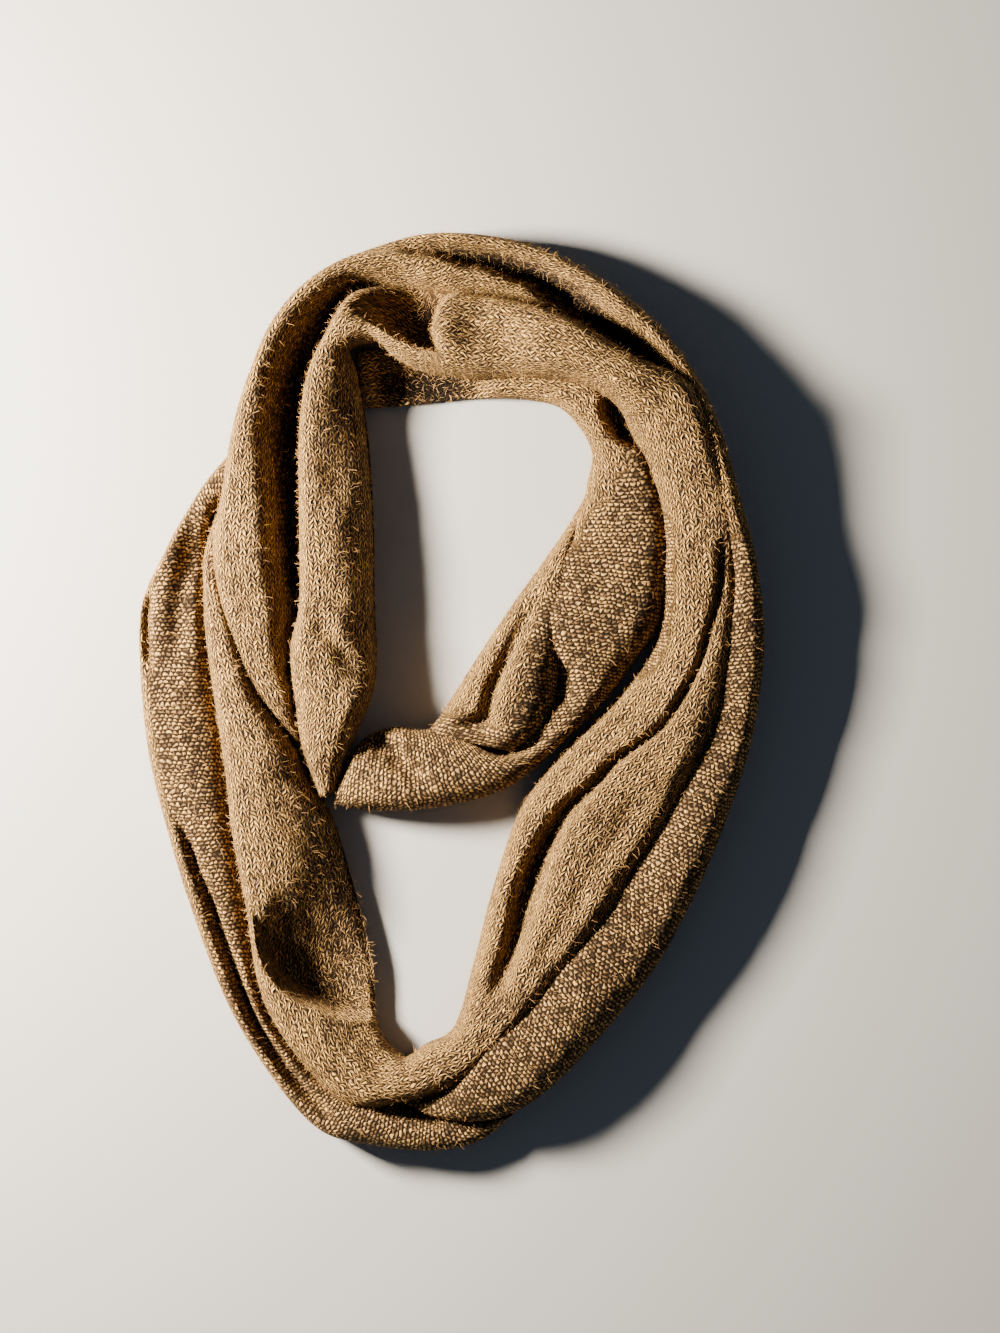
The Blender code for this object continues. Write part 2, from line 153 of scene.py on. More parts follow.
# Each bundle's ribs, in order clockwise round the scarf, millimetres: x and y of
# the rib's end towards the scarf's middle, x and y of its outer end, the height
# of the crown above the surface, and where the crown lies across (0 inner, 1 outer).
BUNDLES = {
    "outer_turn": [
        (-75.1, -15.0, -73.3, -25.9, 21, 0.50),
        (-77.5, 0.7, -86.3, -10.3, 28, 0.56),
        (-79.5, 13.5, -99.2, 17.8, 31, 0.66),
        (-74.4, 50.4, -108.1, 46.6, 34, 0.72),
        (-74.2, 89.5, -110.6, 88.5, 36, 0.74),
        (-74.1, 123.7, -106.1, 123.7, 37, 0.75),
        (-70.2, 154.1, -97.3, 154.1, 37, 0.76),
        (-59.8, 179.4, -84.5, 181.5, 37, 0.74),
        (-45.0, 195.8, -63.9, 202.1, 37, 0.68),
        (-23.5, 197.1, -32.6, 216.3, 36, 0.60),
        (-0.2, 194.0, -3.2, 221.7, 36, 0.58),
        (26.9, 192.2, 33.1, 217.3, 35, 0.60),
        (49.2, 186.0, 62.5, 205.1, 35, 0.60),
        (78.6, 168.3, 91.9, 184.5, 37, 0.52),
        (102.7, 151.7, 114.9, 157.0, 38, 0.46),
        (119.7, 133.3, 128.6, 128.6, 38, 0.42),
        (130.5, 94.5, 138.9, 93.3, 36, 0.42),
        (139.3, 58.9, 147.2, 60.0, 34, 0.55),
        (137.7, 20.6, 150.7, 22.8, 32, 0.58),
        (127.4, -17.9, 144.8, -22.3, 30, 0.58),
        (109.6, -54.5, 132.1, -62.5, 30, 0.55),
        (91.7, -82.4, 117.8, -96.8, 30, 0.50),
        (71.3, -110.7, 98.7, -132.1, 30, 0.46),
        (49.7, -137.0, 75.7, -161.5, 32, 0.40),
        (25.8, -164.6, 47.3, -191.3, 32, 0.36),
        (5.2, -184.6, 23.2, -205.4, 31, 0.36),
        (-9.1, -192.3, -5.1, -206.5, 24, 0.50),
        (-18.9, -193.8, -28.7, -196.2, 16, 0.50),
    ],
    "main_turn": [
        (-56.1, -47.2, -63.6, -50.6, 24, 0.50),
        (-50.1, -27.2, -71.7, -28.1, 33, 0.48),
        (-39.4, -0.7, -75.7, -4.4, 37, 0.46),
        (-37.5, 19.8, -77.7, 20.8, 38, 0.66),
        (-38.5, 47.3, -73.4, 43.4, 38, 0.70),
        (-39.0, 84.5, -73.3, 84.5, 38, 0.72),
        (-41.6, 123.7, -73.3, 123.7, 38, 0.72),
        (-46.6, 155.0, -69.6, 153.0, 38, 0.60),
        (-50.2, 166.8, -59.5, 175.7, 37, 0.52),
        (-37.5, 170.3, -49.2, 191.8, 36, 0.46),
        (-27.2, 162.9, -31.6, 196.7, 38, 0.42),
        (-12.0, 156.1, -12.0, 195.3, 39, 0.45),
        (8.6, 153.0, 10.5, 192.0, 42, 0.48),
        (34.1, 152.7, 34.1, 190.2, 45, 0.50),
        (60.6, 149.4, 59.5, 180.6, 49, 0.54),
        (79.4, 139.5, 87.7, 162.2, 49, 0.58),
        (87.2, 125.4, 112.1, 142.7, 45, 0.60),
        (94.6, 107.5, 124.5, 114.5, 40, 0.60),
        (101.3, 84.3, 130.7, 88.4, 36, 0.58),
        (102.1, 58.1, 138.6, 57.1, 35, 0.50),
        (99.7, 25.7, 136.9, 20.8, 34, 0.60),
        (83.1, 0.2, 125.8, -19.4, 34, 0.66),
        (53.7, -29.2, 109.4, -53.0, 34, 0.68),
        (34.1, -56.6, 91.3, -81.5, 34, 0.66),
        (20.8, -94.3, 71.8, -108.8, 34, 0.62),
        (11.0, -132.1, 51.2, -134.1, 34, 0.60),
        (1.7, -162.4, 24.7, -164.4, 33, 0.58),
        (-12.0, -171.3, -2.8, -189.7, 32, 0.46),
        (-23.8, -177.1, -25.8, -197.7, 31, 0.46),
        (-36.5, -161.5, -54.2, -196.9, 32, 0.66),
        (-39.4, -130.1, -88.8, -152.9, 34, 0.80),
        (-49.2, -91.9, -99.2, -101.5, 36, 0.84),
        (-58.6, -61.5, -105.7, -65.4, 37, 0.84),
        (-68.2, -44.6, -107.7, -48.7, 36, 0.78),
        (-76.5, -26.9, -109.9, -31.2, 36, 0.66),
        (-94.1, 1.2, -115.0, 1.2, 34, 0.52),
        (-104.0, 27.7, -118.5, 27.7, 32, 0.50),
        (-110.4, 50.2, -119.6, 50.2, 29, 0.50),
        (-112.7, 63.9, -119.4, 68.0, 25, 0.50),
        (-111.4, 83.6, -112.0, 91.7, 21, 0.50),
    ],
    "inner_turn_low": [
        (-42.4, 139.4, -46.3, 164.4, 12, 0.50),
        (-29.6, 140.4, -32.6, 163.9, 9, 0.60),
        (-14.0, 141.9, -13.0, 153.1, 10, 0.60),
        (9.6, 144.3, 9.6, 151.7, 13, 0.66),
        (38.0, 143.3, 37.0, 151.7, 19, 0.66),
        (55.6, 137.4, 66.3, 146.3, 25, 0.60),
        (68.4, 118.8, 85.1, 126.2, 27, 0.50),
        (66.4, 101.2, 94.9, 104.2, 29, 0.52),
        (62.6, 82.6, 100.6, 82.6, 29, 0.46),
        (58.6, 62.0, 101.1, 58.1, 31, 0.38),
        (50.2, 42.5, 95.8, 35.5, 32, 0.32),
        (37.6, 15.8, 84.0, 10.0, 29, 0.46),
        (31.1, -10.5, 70.3, -7.6, 27, 0.62),
        (28.7, -30.1, 48.8, -28.2, 26, 0.50),
        (8.6, -25.7, 26.2, -45.8, 27, 0.46),
        (-10.0, -21.3, -1.2, -54.1, 29, 0.50),
        (-26.7, -17.4, -25.7, -56.6, 31, 0.46),
        (-43.4, -23.3, -47.3, -55.6, 29, 0.48),
        (-53.2, -40.2, -57.1, -53.7, 22, 0.50),
    ],
    "lower_turn": [
        (15.4, -209.0, 30.1, -204.6, 16, 0.50),
        (4.9, -209.2, 12.5, -217.8, 18, 0.55),
        (-11.0, -208.6, -11.0, -221.7, 22, 0.55),
        (-32.9, -202.0, -39.4, -218.8, 24, 0.55),
        (-55.9, -199.9, -63.9, -211.4, 26, 0.55),
        (-71.9, -180.3, -86.5, -186.0, 27, 0.55),
        (-91.3, -151.8, -108.0, -150.7, 27, 0.55),
        (-99.4, -106.5, -124.7, -107.6, 28, 0.62),
        (-106.5, -65.4, -137.4, -66.4, 29, 0.70),
        (-111.1, -28.2, -146.3, -29.2, 29, 0.76),
        (-117.0, 8.1, -150.2, 8.1, 28, 0.78),
        (-120.4, 40.4, -150.2, 40.4, 28, 0.78),
        (-120.5, 68.8, -141.9, 69.8, 25, 0.74),
        (-116.8, 87.1, -125.7, 99.2, 22, 0.50),
        (-108.0, 94.8, -106.6, 121.8, 18, 0.50),
    ],
    "flap": [
        (63.0, 90.4, 58.1, 68.8, 22, 0.50),
        (45.3, 63.9, 54.1, 55.1, 29, 0.60),
        (31.1, 44.3, 48.8, 39.0, 31, 0.50),
        (13.5, 17.9, 51.7, 12.0, 33, 0.42),
        (-0.2, -3.7, 45.8, -13.5, 33, 0.54),
        (-5.6, -12.0, 34.1, -24.3, 32, 0.66),
        (-11.0, -18.9, 27.2, -28.2, 24, 0.55),
    ],
}

# Folds that run along a bundle. A row is a place on the fold: the rib, how far
# across, the depth below the rounded top and the half width, both in millimetres.
FOLDS = {
    "left_hollow": ("outer_turn", [
        (2.0, 0.04, 0, 5), (2.6, 0.07, 9, 6), (3.2, 0.10, 16, 8), (3.8, 0.11, 21, 8),
        (4.4, 0.13, 23, 9.5), (5.0, 0.15, 24, 11.5), (6.0, 0.15, 23, 12), (7.0, 0.13, 20, 9),
        (8.0, 0.11, 16, 7), (8.8, 0.10, 8, 6), (9.6, 0.08, 0, 6),
    ]),
    "top_trench": ("outer_turn", [
        (8.4, 0.94, 0, 3), (8.9, 0.84, 7, 3), (9.6, 0.70, 13, 4), (10.4, 0.58, 22, 5),
        (11.2, 0.48, 27, 6), (12.0, 0.34, 29, 6.5), (13.0, 0.16, 27, 6.5), (14.0, 0.06, 17, 5),
        (15.0, 0.02, 0, 4),
    ]),
    "purl_pocket": ("outer_turn", [
        (24.2, 0.10, 0, 5), (25.0, 0.12, 9, 5), (26.0, 0.20, 7, 4), (26.8, 0.30, 0, 4),
    ]),
    "strand_slope": ("main_turn", [
        (1.6, 0.14, 0, 13), (2.6, 0.12, 5, 14), (4.0, 0.10, 7, 15), (6.0, 0.10, 9, 15),
        (7.4, 0.12, 8, 12), (8.6, 0.14, 0, 10),
    ]),
    "strand_dimple": ("main_turn", [
        (3.2, 0.74, 0, 12), (4.1, 0.70, 3, 12), (4.9, 0.60, 2, 12),
        (5.6, 0.52, 4, 12), (6.2, 0.46, 4, 12), (6.9, 0.42, 0, 10),
    ]),
    "band_slope": ("main_turn", [
        (28.6, 0.16, 0, 14), (29.4, 0.14, 8, 17), (30.2, 0.12, 13, 19), (31.0, 0.10, 13, 20),
        (32.0, 0.10, 9, 18), (33.0, 0.12, 5, 15), (34.0, 0.14, 0, 12),
    ]),
    "crossing_dimple": ("main_turn", [
        (11.4, 0.52, 0, 12), (12.15, 0.50, 8, 13), (12.6, 0.44, 8, 13), (13.4, 0.36, 0, 11),
    ]),
    "right_crease": ("main_turn", [
        (18.3, 0.76, 0, 2.4), (19.0, 0.72, 6, 1.8), (20.0, 0.58, 7, 1.8), (21.0, 0.52, 7, 2.0),
        (22.0, 0.36, 9, 2.8), (22.9, 0.29, 14, 5.0), (23.8, 0.27, 17, 6.5), (24.8, 0.32, 12, 5),
        (25.8, 0.38, 0, 4),
    ]),
    "lower_dent": ("main_turn", [
        (28.0, 0.34, 0, 7), (28.6, 0.28, 5, 8), (29.2, 0.30, 0, 7),
    ]),
    "flap_pocket": ("inner_turn_low", [
        (10.1, 0.02, 0, 6), (10.6, 0.10, 6, 8), (11.2, 0.28, 14, 9), (11.7, 0.32, 15, 9),
        (12.1, 0.20, 13, 8), (12.6, 0.12, 11, 7), (13.0, 0.05, 6, 5), (13.4, 0.05, 0, 5),
    ]),
    "lobe_crease": ("inner_turn_low", [
        (15.1, 0.66, 0, 6), (15.6, 0.50, 8, 6), (16.0, 0.34, 12, 7), (16.4, 0.20, 12, 7),
        (16.8, 0.10, 9, 6), (17.3, 0.04, 0, 6),
    ]),
    "edge_crease": ("lower_turn", [
        (3.7, 0.62, 0, 2.6), (4.3, 0.50, 9, 2.8), (5.0, 0.48, 11, 2.8), (6.0, 0.42, 12, 2.8),
        (7.0, 0.58, 11, 2.8), (7.7, 0.68, 8, 2.6), (8.4, 0.80, 0, 2.6),
    ]),
    "edge_slit": ("lower_turn", [
        (9.9, 0.84, 0, 2.6), (10.4, 0.86, 10, 2.6), (11.1, 0.87, 10, 2.6), (11.5, 0.88, 0, 2.6),
    ]),
    "purl_dip": ("lower_turn", [
        (9.9, 0.44, 0, 5), (10.8, 0.37, 5, 6), (12.0, 0.33, 6, 6), (13.0, 0.42, 0, 5),
    ]),
    "lip_trough": ("flap", [
        (4.10, 0.44, 0, 9), (4.50, 0.42, 8, 9), (4.9, 0.40, 10, 9), (5.35, 0.40, 0, 9),
    ]),
    "strip_line": ("flap", [
        (1.4, 0.30, 0, 4), (2.4, 0.33, 5, 4), (3.4, 0.33, 8, 4), (4.2, 0.40, 7, 4), (4.9, 0.42, 0, 4),
    ]),
}

# Pockets that run down behind a lip across a bundle. A row is a place on the lip:
# how far across, its rib, the depth in millimetres, how many ribs it reaches from
# there, on along the scarf or, below nothing, back, and in how many it drops.
POCKETS = {
    "lower_pocket": ("main_turn", [
        (-0.10, 29.05, 0, 1.4, 0.20), (0.10, 29.20, 7, 1.5, 0.20),
        (0.25, 29.38, 17, 1.7, 0.20), (0.45, 29.58, 27, 1.6, 0.20),
        (0.68, 29.90, 30, 1.1, 0.20), (0.79, 30.10, 27, 0.7, 0.20),
        (0.87, 30.28, 16, 0.5, 0.20), (0.93, 30.45, 0, 0.5, 0.20),
        (1.10, 30.50, 0, 0.5, 0.20),
    ]),
    "turn_cave": ("main_turn", [
        (-0.10, 11.55, 0, -1.0, 0.3), (0.20, 11.50, 0, -1.4, 0.3),
        (0.31, 11.32, 34, -2.2, 0.3), (0.50, 11.22, 46, -2.5, 0.25),
        (0.72, 11.32, 46, -2.7, 0.25), (0.90, 11.62, 31, -2.5, 0.35),
        (1.00, 11.75, 10, -2.2, 0.4), (1.10, 11.85, 6, -2.0, 0.4),
    ]),
}

# Lesser creases that only the cloth's surface has, in the same columns as FOLDS.
CREASES = {
    "strand_corner": ("main_turn", [
        (2.2, 0.20, 0, 5), (2.9, 0.36, 2.5, 5), (3.5, 0.62, 3, 5), (4.1, 0.85, 0, 5),
    ]),
    "band_a_line": ("main_turn", [
        (20.5, 0.22, 0, 4), (21.4, 0.20, 2.0, 4), (22.6, 0.14, 1.5, 3), (23.6, 0.10, 0, 3),
    ]),
    "band_b_line": ("main_turn", [
        (21.6, 0.80, 0, 5), (22.6, 0.72, 2.2, 6), (24.2, 0.66, 2.0, 5), (25.4, 0.62, 0, 4),
    ]),
    "almond_slit": ("inner_turn_low", [
        (5.2, 0.84, 0, 3), (5.6, 0.84, 13, 4), (6.0, 0.84, 18, 4.5), (6.5, 0.86, 0, 4),
    ]),
    # Presses the thin layer down to the floor; the depth beyond that only adds painted shade there through
    # the fold-depth share.
    "layer_dip": ("inner_turn_low", [
        (0.3, 0.30, 0, 8), (0.9, 0.30, 18, 11), (2.4, 0.45, 26, 12), (2.9, 0.50, 17, 10),
        (3.5, 0.50, 0, 8),
    ]),
    "bottom_groove": ("lower_turn", [
        (1.2, 0.06, 0, 4), (1.9, 0.08, 12, 5), (2.8, 0.10, 13, 5), (3.4, 0.08, 0, 4),
    ]),
}

# Where the purl side of the knit faces out: bundle, first and last rib, and how
# far across it starts and ends.
PURL_ZONES = [
    ("outer_turn", 16.5, 28.5, -0.2, 1.2),
    ("main_turn", 18.0, 20.6, -0.2, 0.13),
    ("inner_turn_low", 6.0, 7.4, 0.60, 1.2),
    ("inner_turn_low", 6.9, 8.4, 0.34, 1.2),
    ("inner_turn_low", 7.6, 9.2, 0.14, 1.2),
    ("inner_turn_low", 8.6, 19.0, -0.2, 1.2),
    ("lower_turn", -1.0, 15.5, -0.2, 0.84),
    ("lower_turn", -1.0, 4.6, -0.2, 1.2),
    ("flap", -1.0, 2.8, 0.48, 1.2),
    ("flap", 2.2, 5.5, 0.62, 1.2),
    ("flap", 4.6, 7.0, -0.2, 1.2),
]

# Where a bundle's edge is tucked under its neighbour, or kept clear of it: bundle,
# first and last rib, and how much wider, or below nothing narrower, the cloth is at
# its inner and outer end, millimetres.
TUCKS = [
    ("inner_turn_low", -0.5, 3.0, 0, 3),
    ("inner_turn_low", 2.4, 5.7, 0, 6),
    ("inner_turn_low", 7.2, 9.8, 5, 0),
    ("inner_turn_low", 8.3, 11.4, 9, 0),
    ("inner_turn_low", 5.8, 11.0, 0, 5),
    ("inner_turn_low", 12.6, 15.6, 5, 0),
    ("flap", -1.0, 3.0, 0, 7),
    ("main_turn", 12.0, 15.4, 0, -2),
    ("main_turn", 15.0, 19.0, 0, 7),
    ("outer_turn", 14.1, 19.0, 5, 0),
    ("lower_turn", -0.5, 5.0, 6, 0),
    ("lower_turn", 11.0, 15.5, 0, -4),
    ("outer_turn", 23.5, 27.5, 4, 0),
    ("outer_turn", 0.8, 4.4, 0, 5),
    ("outer_turn", 17.0, 25.6, 6, 0),
    ("main_turn", 23.0, 27.4, 0, 4),
]

# Mesh size along each bundle.
MESH_STEPS = {
    "outer_turn": 2.4 * MM, "main_turn": 2.0 * MM, "inner_turn_low": 1.8 * MM,
    "lower_turn": 2.2 * MM, "flap": 1.2 * MM,
}

# The shells: bundle, the solids each stands for and the name of a slot.
SHELLS = [
    ("outer_turn", ("left_main", "top_left", "top_right", "right_outer"), "top_left"),
    ("main_turn", ("inner_left", "inner_turn", "crossing", "right_main", "bottom_main",
                   "lower_left"), "crossing"),
    ("inner_turn_low", ("inner_top", "inner_right", "inner_bottom"), "inner_right"),
    ("lower_turn", ("bottom_outer", "left_outer"), "left_outer"),
    ("flap", ("inner_flap",), "inner_flap"),
]

# ---------------------------------------------------------------- the cloth's shape


def smooth_through(rows, place):
    """A value of every column at a place along the rows, on a smooth curve."""
    values = np.array(rows, float)
    ends = 2 * values[0] - values[1], 2 * values[-1] - values[-2]
    padded = np.vstack([ends[0], values, ends[1]])
    first = min(int(place), len(values) - 2)
    t = place - first
    before, here, after, beyond = padded[first:first + 4]
    return 0.5 * (
        2 * here
        + (after - before) * t
        + (2 * before - 5 * here + 4 * after - beyond) * t**2
        + (3 * here - before - 3 * after + beyond) * t**3
    )


def eased_step(share):
    """0 up to 0 and 1 from 1, with a soft rise between."""
    share = np.clip(share, 0, 1)
    return share * share * (3 - 2 * share)


def fold_at(rows, rib):
    """Across, depth and half width of a fold at a rib, none beyond its ends."""
    ribs = [row[0] for row in rows]
    if not ribs[0] < rib < ribs[-1]:
        return None
    k = int(np.clip(np.searchsorted(ribs, rib) - 1, 0, len(ribs) - 2))
    share = eased_step((rib - ribs[k]) / (ribs[k + 1] - ribs[k]))
    return [here * (1 - share) + after * share for here, after in zip(rows[k][1:], rows[k + 1][1:])]


def fold_depth(bundle, rib, across, width):
    """How far all the folds of a bundle press its top down at these places."""
    depth = np.zeros(len(across))
    for table in (FOLDS, CREASES):
        for on_bundle, rows in table.values():
            found = fold_at(rows, rib) if on_bundle == bundle else None
            if found:
                at, deep, half = found
                off = (across - at) * width / (half * MM)
                depth += deep * MM * np.exp(-off**2)
    return depth


def pocket_depth(bundle, rib, across):
    """How far the pockets of a bundle press its top down at these places."""
    depth = np.zeros(len(across))
    for on_bundle, rows in POCKETS.values():
        if on_bundle != bundle:
            continue
        places, lips, deeps, reaches, softs = np.array(rows).T
        reach = np.interp(across, places, reaches)
        behind = (rib - np.interp(across, places, lips)) * np.sign(reach)
        soft = np.interp(across, places, softs)
        fall = eased_step(behind / soft)
        fade = 1 - eased_step((behind - soft) / np.abs(reach))
        depth += np.interp(across, places, deeps) * MM * fall * fade
    return depth


def arch(across, crown):
    """Height share of the rounded top, 1 at the crown and 0 at both sides."""
    off = np.where(across < crown, (crown - across) / crown, (across - crown) / (1 - crown))
    return (1 - np.clip(off, 0, 1) ** ARCH_POWER) ** (1 / ARCH_POWER)


def shape_at(bundle, rib):
    """The inner and outer ends of a rib, its width, height, crown and wall."""
    inner_x, inner_y, outer_x, outer_y, height, crown = smooth_through(BUNDLES[bundle], rib)
    inner = np.array([inner_x, inner_y]) * MM
    outer = np.array([outer_x, outer_y]) * MM
    width = np.linalg.norm(outer - inner)
    across = (outer - inner) / width
    more_inner, more_outer = SPREAD, SPREAD
    for on_bundle, first, last, inner_tuck, outer_tuck in TUCKS:
        if on_bundle == bundle:
            share = float(eased_step(min(rib - first, last - rib)))
            more_inner += inner_tuck * MM * share
            more_outer += outer_tuck * MM * share
    inner, outer = inner - across * more_inner, outer + across * more_outer
    width += more_inner + more_outer
    wall = min(WALL, max(THIN_WALL, WALL_SHARE * min(width, height * MM)))
    return inner, outer, width, height * MM, crown, wall


def waves(bundle, along, across):
    """Slight unevenness of hand-laid cloth, in metres, long along the strip."""
    rng = np.random.default_rng(WAVE_SEED + len(bundle))
    total = np.zeros_like(across)
    for long, wide, size in WAVES:
        for _ in range(WAVES_EACH):
            turn = rng.uniform(-0.5, 0.5)
            start = rng.uniform(0, 2 * math.pi)
            phase = 2 * math.pi * (along / (long * MM) + turn * across / (wide * MM)) + start
            drift = 2 * math.pi * across / (wide * MM) + rng.uniform(0, 2 * math.pi)
            total += size * MM * np.sin(phase) * np.cos(drift) / 2
    return total


def top_rise(bundle, rib, across, along):
    """Heights of the cloth's top over these places across a rib."""
    _, _, width, height, crown, wall = shape_at(bundle, rib)
    side = CORNER_SHARE * height
    rise = side + (height - side) * arch(across, crown)
    floor = np.minimum(rise, 2 * wall + CLEAR_INSIDE)
    rise = rise - fold_depth(bundle, rib, across, width)
    rise = rise - pocket_depth(bundle, rib, across)
    edge = np.clip(np.minimum(across, 1 - across) * WAVE_EDGES, 0, 1)
    rise = rise + waves(bundle, along, across * width) * edge
    return floor + SOFT_FLOOR * np.logaddexp(0, (rise - floor) / SOFT_FLOOR)


def picked(across, line, count):
    """Places across, evenly along the cloth."""
    long = np.linalg.norm(np.diff(line, axis=0), axis=1)
    along = np.concatenate([[0], np.cumsum(long)])
    return np.interp(np.linspace(0, along[-1], count), along, across)


def section(bundle, rib, across, along):
    """The open line of the wall's outside, from slit over the top to slit."""
    _, _, width, height, _, _ = shape_at(bundle, rib)
    corner = min(CORNER_WIDTH, CORNER_MOST * width)
    side = CORNER_SHARE * height
    turn = np.linspace(0, 0.5 * math.pi, CORNER_POINTS + 1)[:-1]
    corner_x = corner * (1 - np.sin(turn))
    corner_z = side * (1 - np.cos(turn))
    flat = np.linspace(SLIT_ACROSS * width, corner, FLAT_POINTS + 1)[:-1]
    low = np.column_stack([np.append(flat, corner_x), np.append(0 * flat, corner_z)])
    top = np.column_stack([across * width, top_rise(bundle, rib, across, along)])
    top[0, 1] = top[-1, 1] = side
    flat = np.linspace(SLIT_ACROSS * width, width - corner, FLAT_POINTS + 1)[:-1]
    high = np.column_stack([np.append(flat, width - corner_x), np.append(0 * flat, corner_z)])
    return np.vstack([low, top, high[::-1]])


def moved_in(line, wall):
    """The line moved inwards by one wall."""
    steps = np.diff(line, axis=0)
    steps /= np.maximum(np.linalg.norm(steps, axis=1), NEARLY_NOTHING)[:, None]
    inward = np.column_stack([steps[:, 1], -steps[:, 0]])
    both = np.vstack([inward[:1], inward]) + np.vstack([inward, inward[-1:]])
    both /= np.maximum(np.linalg.norm(both, axis=1), NEARLY_NOTHING)[:, None]
    return line + both * wall


def placed(bundle, rib, line):
    """A section's line set up across its rib, as points in space."""
    inner, outer, width, _, _, _ = shape_at(bundle, rib)
    flat = inner + (outer - inner) * (line[:, :1] / width)
    return np.column_stack([flat, line[:, 1]])


def evenly_along(bundle):
    """Places of the rings down a bundle, and how far along the cloth each is."""
    ribs = len(BUNDLES[bundle])
    fine = np.linspace(0, ribs - 1, TRACED_PER_RIB * ribs)
    rows = np.array([smooth_through(BUNDLES[bundle], place) for place in fine])
    middle = (rows[:, 0:2] + rows[:, 2:4]) / 2 * MM
    long = np.linalg.norm(np.diff(middle, axis=0), axis=1)
    along = np.concatenate([[0], np.cumsum(long)])
    count = int(along[-1] / MESH_STEPS[bundle]) + 1
    wanted = np.linspace(0, along[-1], count)
    return np.interp(wanted, along, fine), wanted


def purl_share(bundle, rib, across):
    """1 where the purl side faces out, easing to 0 round its zones."""
    share = np.zeros_like(across)
    for on_bundle, first, last, low, high in PURL_ZONES:
        if on_bundle != bundle:
            continue
        lengthwise = np.clip(min(rib - first, last - rib) / PURL_EASE_RIBS + 0.5, 0, 1)
        crosswise = np.clip(np.minimum(across - low, high - across) / PURL_EASE_ACROSS + 0.5, 0, 1)
        share = np.maximum(share, lengthwise * crosswise)
    return share


def sunk_share(bundle, rib, across):
    """0 on open cloth, easing to 1 deep in a fold or pocket."""
    width = shape_at(bundle, rib)[2]
    depth = fold_depth(bundle, rib, across, width)
    depth += POCKET_SUNK * pocket_depth(bundle, rib, across)
    return eased_step((depth - SUNK_FROM) / (SUNK_DEPTH - SUNK_FROM))


def places_across(bundle, ribs, along):
    """Each ring's points over the top, even along the cloth and in smooth columns."""
    fine = 0.5 - 0.5 * np.cos(np.linspace(0, math.pi, TRACE_POINTS))
    top_count = ACROSS_POINTS - 2 * (CORNER_POINTS + FLAT_POINTS)
    rows = []
    for rib, far in zip(ribs, along):
        width = shape_at(bundle, rib)[2]
        trace = np.column_stack([fine * width, top_rise(bundle, rib, fine, far)])
        rows.append(picked(fine, trace, top_count))
    rows = np.array(rows)
    for _ in range(SMOOTHINGS):
        rows[1:-1] = (rows[:-2] + 2 * rows[1:-1] + rows[2:]) / 4
    return rows


def rings_of(bundle):
    """The outside and inside points, knit map, purl share and sunk share of every ring."""
    ribs, along = evenly_along(bundle)
    outside, inside, maps, purls, sunks = [], [], [], [], []
    for rib, far, across in zip(ribs, along, places_across(bundle, ribs, along)):
        line = section(bundle, rib, across, far)
        width, wall = shape_at(bundle, rib)[2], shape_at(bundle, rib)[5]
        outside.append(placed(bundle, rib, line))
        inside.append(placed(bundle, rib, moved_in(line, wall)))
        wide = np.concatenate([[0], np.cumsum(np.linalg.norm(np.diff(line, axis=0), axis=1))])
        wide -= wide[len(wide) // 2]
        maps.append(np.column_stack([wide / WALE, np.full(len(wide), far / COURSE)]))
        purls.append(purl_share(bundle, rib, line[:, 0] / width))
        sunks.append(sunk_share(bundle, rib, line[:, 0] / width))
    return [np.array(part) for part in (outside, inside, maps, purls, sunks)]


def wall_faces(rings, count):
    """The wall's faces, all outwards: outside, inside, the two long edges and the two ends."""
    faces = []
    for k in range(rings - 1):
        for i in range(count - 1):
            a, b = k * count + i, (k + 1) * count + i
            faces.append((a, b, b + 1, a + 1))
    shift = rings * count
    faces += [(a + shift, d + shift, c + shift, b + shift) for a, b, c, d in faces]
    for k in range(rings - 1):
        a, b = k * count, (k + 1) * count
        faces.append((a, a + shift, b + shift, b))
        a, b = a + count - 1, b + count - 1
        faces.append((a, b, b + shift, a + shift))
    last = (rings - 1) * count
    for i in range(count - 1):
        faces.append((i, i + 1, i + 1 + shift, i + shift))
        faces.append((last + i + 1, last + i, last + i + shift, last + i + 1 + shift))
    return faces


def shell_mesh(bundle):
    """The bundle's cloth as one closed wall, with its knit map and what it is painted by."""
    outside, inside, maps, purls, sunks = rings_of(bundle)
    points = np.concatenate([outside.reshape(-1, 3), inside.reshape(-1, 3)])
    points[:, 2] = np.maximum(points[:, 2], 0.0)
    mesh = bpy.data.meshes.new(f"{bundle}_knit")
    mesh.from_pydata(points.tolist(), [], wall_faces(*outside.shape[:2]))
    corners = np.zeros(len(mesh.loops), np.int32)
    mesh.loops.foreach_get("vertex_index", corners)
    knit = np.tile(maps.reshape(-1, 2), (2, 1))[corners]
    mesh.uv_layers.new(name="knit").uv.foreach_set("vector", knit.astype(np.float32).ravel())
    outsides = np.repeat([1.0, 0.0], len(points) // 2)
    shares = {"purl": np.tile(purls.ravel(), 2), "sunk": np.tile(sunks.ravel(), 2),
              "outside": outsides}
    for name, values in shares.items():
        share = mesh.attributes.new(name, "FLOAT", "POINT")
        share.data.foreach_set("value", values.astype(np.float32))
    mesh.polygons.foreach_set("use_smooth", np.ones(len(mesh.polygons), bool))
    mesh.update()
    return mesh


# ---------------------------------------------------------------- materials


def srgb(code):
    """A hex colour as the linear values that the shaders take."""
    parts = [int(code[i:i + 2], 16) / 255 for i in (1, 3, 5)]
    return tuple(c / 12.92 if c <= 0.04045 else ((c + 0.055) / 1.055) ** 2.4 for c in parts) + (1,)


